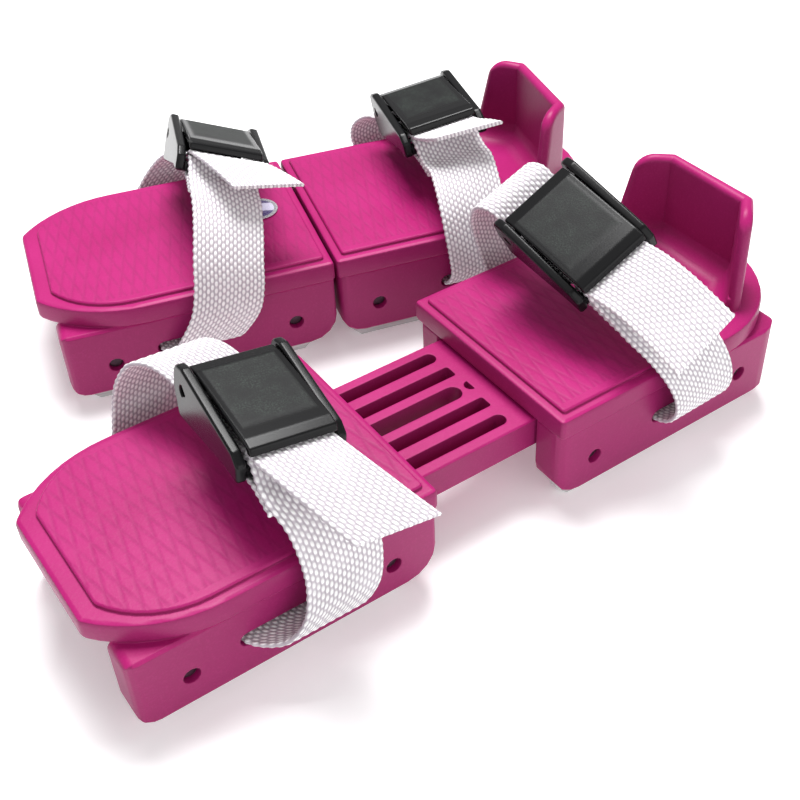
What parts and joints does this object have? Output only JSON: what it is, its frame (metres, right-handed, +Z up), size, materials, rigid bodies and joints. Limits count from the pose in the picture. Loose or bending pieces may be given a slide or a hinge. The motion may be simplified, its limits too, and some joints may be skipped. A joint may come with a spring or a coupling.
{
  "type": "strap-on double-runner skates",
  "caption": "Child's strap-on skates with double runners, a grooved slide plate that sets the length, heel cups, and webbing straps with cam buckles.",
  "frame": {"origin": "middle of the pair's footprint, on the ice under the runners", "axes": "+Z up; the near skate lies along X with its toe towards -X; the far skate stands on the +Y side, turned 15 degrees"},
  "size_m": [0.2626, 0.2414, 0.0874],
  "materials": {
    "shell": "satin moulded plastic with a fine diamond relief on the treads",
    "runner_steel": "pale ground steel",
    "pin_metal": "dark recessed pins",
    "webbing": "white basket-woven webbing",
    "buckle_plastic": "black grained plastic",
    "zinc": "zinc plated",
    "badge_metal": "plain round violet disc with a silver rim"
  },
  "bodies": {
    "near_front": {"near_front_section": "shell", "near_front_runner_left": "runner_steel", "near_front_pin_left_fore": "pin_metal", "near_front_pin_left_rear": "pin_metal", "near_front_runner_right": "runner_steel", "near_front_pin_right_fore": "pin_metal", "near_front_pin_right_rear": "pin_metal", "near_front_strap": "webbing", "near_front_buckle_frame": "buckle_plastic", "near_front_lever_pin": "pin_metal", "near_lock_stud": "zinc", "near_lock_washer": "zinc", "near_badge": "badge_metal"},
    "near_front_lever": {"near_front_cam_lever": "buckle_plastic"},
    "near_heel": {"near_heel_section": "shell", "near_heel_runner_left": "runner_steel", "near_heel_pin_left_fore": "pin_metal", "near_heel_pin_left_rear": "pin_metal", "near_heel_runner_right": "runner_steel", "near_heel_pin_right_fore": "pin_metal", "near_heel_pin_right_rear": "pin_metal", "near_heel_strap": "webbing", "near_heel_buckle_frame": "buckle_plastic", "near_heel_lever_pin": "pin_metal", "near_extension_plate": "shell", "near_plate_screw": "zinc"},
    "near_heel_lever": {"near_heel_cam_lever": "buckle_plastic"},
    "near_wing": {"near_wing_nut": "zinc"},
    "far_front": {"far_front_section": "shell", "far_front_runner_left": "runner_steel", "far_front_pin_left_fore": "pin_metal", "far_front_pin_left_rear": "pin_metal", "far_front_runner_right": "runner_steel", "far_front_pin_right_fore": "pin_metal", "far_front_pin_right_rear": "pin_metal", "far_front_strap": "webbing", "far_front_buckle_frame": "buckle_plastic", "far_front_lever_pin": "pin_metal", "far_lock_stud": "zinc", "far_lock_washer": "zinc", "far_badge": "badge_metal"},
    "far_front_lever": {"far_front_cam_lever": "buckle_plastic"},
    "far_heel": {"far_heel_section": "shell", "far_heel_runner_left": "runner_steel", "far_heel_pin_left_fore": "pin_metal", "far_heel_pin_left_rear": "pin_metal", "far_heel_runner_right": "runner_steel", "far_heel_pin_right_fore": "pin_metal", "far_heel_pin_right_rear": "pin_metal", "far_heel_strap": "webbing", "far_heel_buckle_frame": "buckle_plastic", "far_heel_lever_pin": "pin_metal", "far_extension_plate": "shell", "far_plate_screw": "zinc"},
    "far_heel_lever": {"far_heel_cam_lever": "buckle_plastic"},
    "far_wing": {"far_wing_nut": "zinc"}
  },
  "joints": [
    {"name": "near_front_lever_hinge", "type": "hinge", "parent": "near_front", "child": "near_front_lever", "pos_m": [-0.06284, -0.04817, 0.06773], "axis": [-0.9903, 0.0606, 0.1253], "range_deg": [0, 95]},
    {"name": "near_heel_lever_hinge", "type": "hinge", "parent": "near_heel", "child": "near_heel_lever", "pos_m": [0.05856, -0.03893, 0.07315], "axis": [-0.8748, 0.0642, -0.4802], "range_deg": [0, 95]},
    {"name": "near_heel_slide", "type": "slide", "parent": "near_front", "child": "near_heel", "axis": [1, 0, 0], "range_m": [-0.046, 0.003]},
    {"name": "near_wing_turn", "type": "hinge", "parent": "near_front", "child": "near_wing", "pos_m": [-0.04225, -0.05677, 0.014], "axis": [0, 0, 1], "continuous": true},
    {"name": "far_front_lever_hinge", "type": "hinge", "parent": "far_front", "child": "far_front_lever", "pos_m": [0.00098, 0.09038, 0.06055], "axis": [-0.8642, 0.3794, 0.3305], "range_deg": [0, 95]},
    {"name": "far_heel_lever_hinge", "type": "hinge", "parent": "far_heel", "child": "far_heel_lever", "pos_m": [0.08128, 0.06923, 0.06095], "axis": [-0.9526, 0.2678, -0.1444], "range_deg": [0, 95]},
    {"name": "far_heel_slide", "type": "slide", "parent": "far_front", "child": "far_heel", "axis": [0.9659, -0.2588, 0], "range_m": [0, 0.049]},
    {"name": "far_wing_turn", "type": "hinge", "parent": "far_front", "child": "far_wing", "pos_m": [0.00577, 0.06176, 0.014], "axis": [0, 0, 1], "continuous": true},
    {"name": "far_skate_lift", "type": "slide", "parent": "near_front", "child": "far_front", "axis": [0, 0, 1], "range_m": [0, 0.2]}
  ]
}
